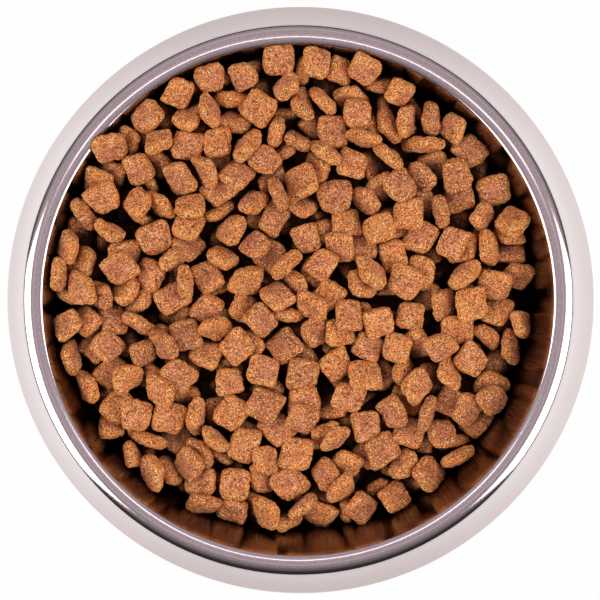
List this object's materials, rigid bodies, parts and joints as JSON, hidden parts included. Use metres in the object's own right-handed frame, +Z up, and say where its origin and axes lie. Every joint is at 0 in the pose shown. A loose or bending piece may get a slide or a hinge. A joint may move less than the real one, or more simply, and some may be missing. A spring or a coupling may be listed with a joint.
{
  "type": "pet bowl filled with dry food",
  "caption": "Round steel pet bowl with a rounded rim, a splayed skirt and a rubber base ring, heaped with small square pillows of brown dry food.",
  "frame": {"origin": "middle of the base, on the surface that the bowl stands on", "axes": "+Z up out of the bowl's mouth, -Y towards the low side of the heap, +X to the right of the picture"},
  "size_m": [0.21, 0.21, 0.0646],
  "materials": {
    "polished_steel": "polished",
    "black_rubber": "matte",
    "dry_food": "matte"
  },
  "bodies": {
    "root": {"steel_bowl": "polished_steel", "rubber_base_ring": "black_rubber", "kibble_heap": "dry_food"}
  },
  "joints": []
}
